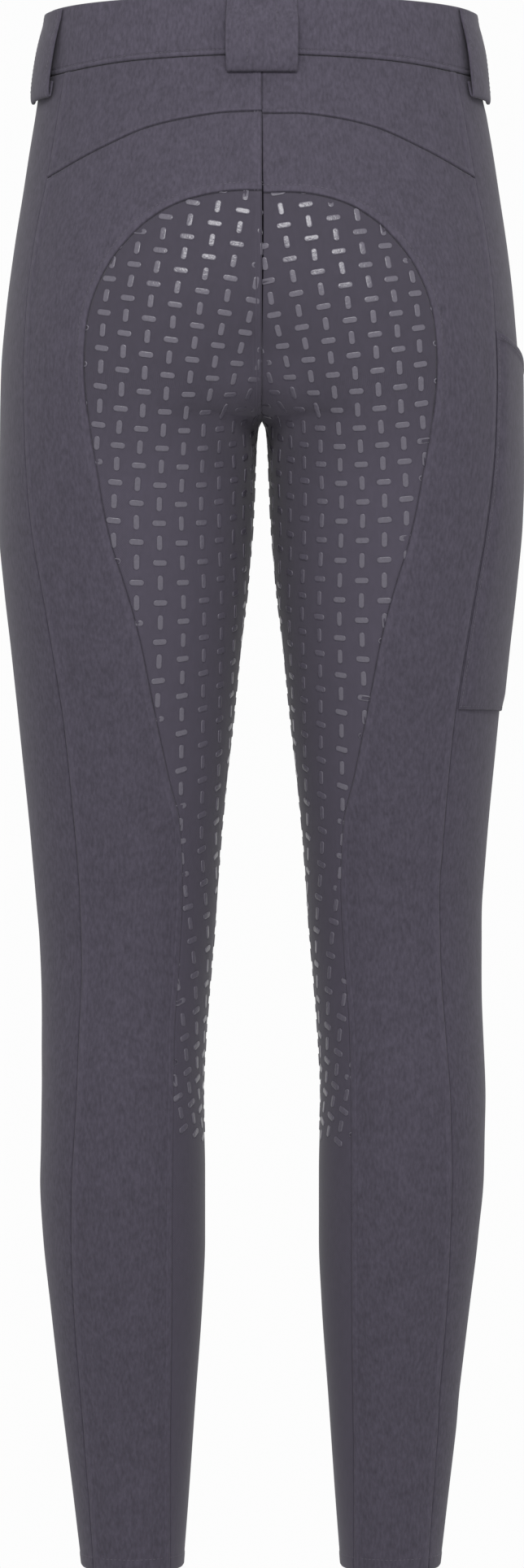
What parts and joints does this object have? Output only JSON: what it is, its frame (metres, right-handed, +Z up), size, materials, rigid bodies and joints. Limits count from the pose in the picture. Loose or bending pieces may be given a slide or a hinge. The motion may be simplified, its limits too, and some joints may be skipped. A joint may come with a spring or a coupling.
{
  "type": "riding breeches, worn shape",
  "caption": "Close-fitting full seat riding breeches filled out as worn, hollow and open at waist and hems, with grip seat panels, wide belt loops and a thigh pocket.",
  "frame": {"origin": "centre of the waist ring, halfway up the waistband, where the wearer's waist holds the breeches", "axes": "+Z up along the legs towards the waist, the front faces -Y, +X is the wearer's left"},
  "size_m": [0.3242, 0.2205, 0.9527],
  "materials": {
    "main_cloth": "brushed knit",
    "grip_cloth": "smooth knit with raised silicone dashes",
    "band_cloth": "brushed knit",
    "button": "satin"
  },
  "bodies": {
    "root": {"yoke_left": "main_cloth", "yoke_right": "main_cloth", "back_panel_left": "main_cloth", "back_panel_right": "main_cloth", "seat_panel_left": "grip_cloth", "seat_panel_right": "grip_cloth", "front_panel_left": "main_cloth", "front_panel_right": "main_cloth", "waistband": "band_cloth", "belt_loop_back": "band_cloth", "belt_loop_side_left": "band_cloth", "belt_loop_side_right": "band_cloth", "belt_loop_front_left": "band_cloth", "belt_loop_front_right": "band_cloth", "phone_pocket": "main_cloth", "fly_flap": "main_cloth", "waist_button": "button"}
  },
  "joints": []
}
